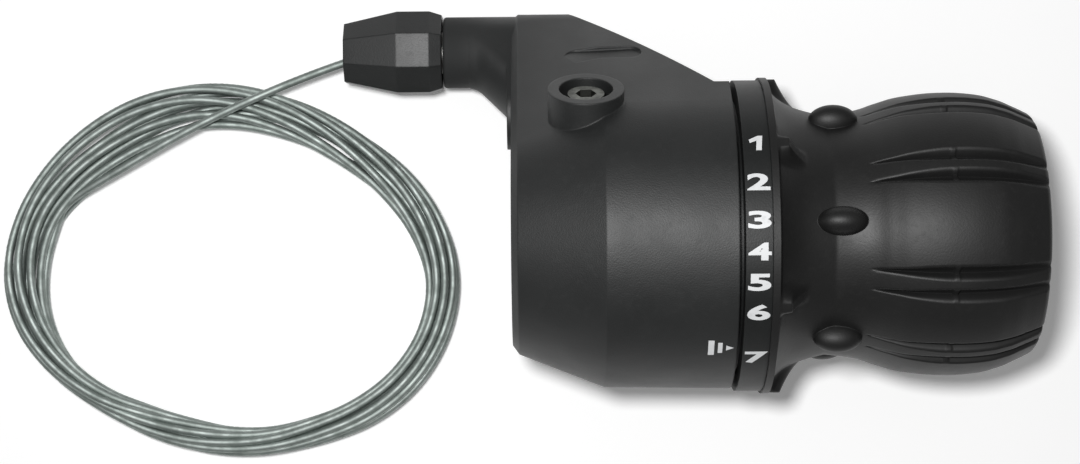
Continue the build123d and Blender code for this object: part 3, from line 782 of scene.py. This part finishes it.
def digit(text, angle):
    """One bold digit, spread between two stations of the collar and centred on an angle."""
    if text == "1":
        letter = bpy.data.curves.new("digit", "CURVE")
        letter.dimensions = "2D"
        line = letter.splines.new("POLY")
        line.points.add(len(one_outline) - 1)
        for point, (x, y) in zip(line.points, one_outline):
            point.co = (x, y, 0.0, 1.0)
        line.use_cyclic_u = True
    else:
        letter = bpy.data.curves.new("digit", "FONT")
        letter.body = text
        letter.offset = number_weight
        letter.resolution_u = 6
    letter.fill_mode = "BOTH"
    letter.extrude = 0.5
    holder = show("digit", letter)
    mesh = plain_mesh(holder)
    bpy.data.objects.remove(holder)
    xs = [v.co.x for v in mesh.vertices]
    ys = [v.co.y for v in mesh.vertices]
    left, right, low, high = min(xs), max(xs), min(ys), max(ys)
    cutting = bmesh.new()
    cutting.from_mesh(mesh)
    for i in range(1, number_cuts):
        level = low + (high - low) * i / number_cuts
        everything = cutting.verts[:] + cutting.edges[:] + cutting.faces[:]
        bmesh.ops.bisect_plane(cutting, geom=everything, plane_co=(0.0, level, 0.0),
                               plane_no=(0.0, 1.0, 0.0))
    cutting.to_mesh(mesh)
    cutting.free()
    wide = number_right - number_left
    centre = radians(angle) * collar_r
    narrow, shift = (one_share, one_shift) if text == "1" else (1.0, 0.0)
    verts = []
    for v in mesh.vertices:
        share_x = (v.co.x - left) / (right - left)
        share_y = (v.co.y - low) / (high - low)
        height = print_proud if v.co.z > 0 else -print_sink
        along = number_left + wide * (share_x * narrow + shift)
        verts.append((along, centre + (share_y - 0.5) * number_height, height))
    return verts, [list(face.vertices) for face in mesh.polygons]


def slab(outline):
    """Thin block over a flat outline."""
    count = len(outline)
    verts = [(x, y, -print_sink) for x, y in outline] + [(x, y, print_proud) for x, y in outline]
    sides = [[i, (i + 1) % count, (i + 1) % count + count, i + count] for i in range(count)]
    return verts, [list(range(count))[::-1], list(range(count, 2 * count))] + sides


def gear_numbers():
    """White numbers 1 to 7 round the collar."""
    digits = [digit(str(i + 1), angle) for i, angle in enumerate(number_angles)]
    numbers = wrapped_print("gear_numbers", digits, collar_r)
    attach(numbers, "grip")


def index_mark():
    """White bars and a pointer that the numbers are read against."""
    centre = radians(index_angle) * shell_r
    marks = []
    for x0, x1, height in index_bars:
        half = height * MM / 2
        for i in range(index_cuts):
            low = centre - half + 2 * half * i / index_cuts
            high = centre - half + 2 * half * (i + 1) / index_cuts
            marks.append(slab([(x0 * MM, low), (x1 * MM, low), (x1 * MM, high), (x0 * MM, high)]))
    x0, x1, height = index_tip
    half = height * MM / 2
    marks.append(slab([(x0 * MM, centre - half), (x1 * MM, centre), (x0 * MM, centre + half)]))
    mark = wrapped_print("index_mark", marks, shell_r)
    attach(mark, "housing")


gear_numbers()
index_mark()


def studio():
    """Pale floor, dim white world, small lamp beside the lens and the camera."""
    material, tree, main = shader("floor")
    main.inputs["Base Color"].default_value = (floor_shade, floor_shade, floor_shade, 1.0)
    main.inputs["Roughness"].default_value = 0.9
    rays = tree.nodes.new("ShaderNodeLightPath")
    seen = Value(tree, rays.outputs["Is Camera Ray"]).most(rays.outputs["Is Glossy Ray"])
    seen = seen.most(rays.outputs["Is Transmission Ray"])
    tree.feed(main.inputs["Emission Color"], seen * floor_glow)
    main.inputs["Emission Strength"].default_value = 1.0
    signs = ((-1, -1), (1, -1), (1, 1), (-1, 1))
    corners = [(x * floor_reach, y * floor_reach, table_z) for x, y in signs]
    floor = bpy.data.meshes.new("floor")
    floor.from_pydata(corners, [], [(0, 1, 2, 3)])
    show("floor", floor, material)

    world = bpy.data.worlds.new("studio")
    world.use_nodes = True
    background = world.node_tree.nodes["Background"]
    background.inputs["Color"].default_value = (1.0, 1.0, 1.0, 1.0)
    background.inputs["Strength"].default_value = world_strength
    bpy.context.scene.world = world

    light = bpy.data.lights.new("key_lamp", "AREA")
    light.shape = "DISK"
    light.size = lamp_size
    light.energy = lamp_power
    lamp = show("key_lamp", light)
    lamp.location = lamp_place
    lamp.rotation_euler = (-Vector(lamp_place)).to_track_quat("-Z", "Y").to_euler()

    view = bpy.data.cameras.new("camera")
    view.sensor_width = sensor_width
    view.lens = camera_height * sensor_width / (photo_width * photo_scale)
    view.clip_start = camera_near
    camera = show("camera", view)
    camera.location = camera_place
    camera.rotation_euler = (0.0, 0.0, camera_roll)
    bpy.context.scene.camera = camera
    bpy.context.scene.view_settings.view_transform = "Standard"


studio()
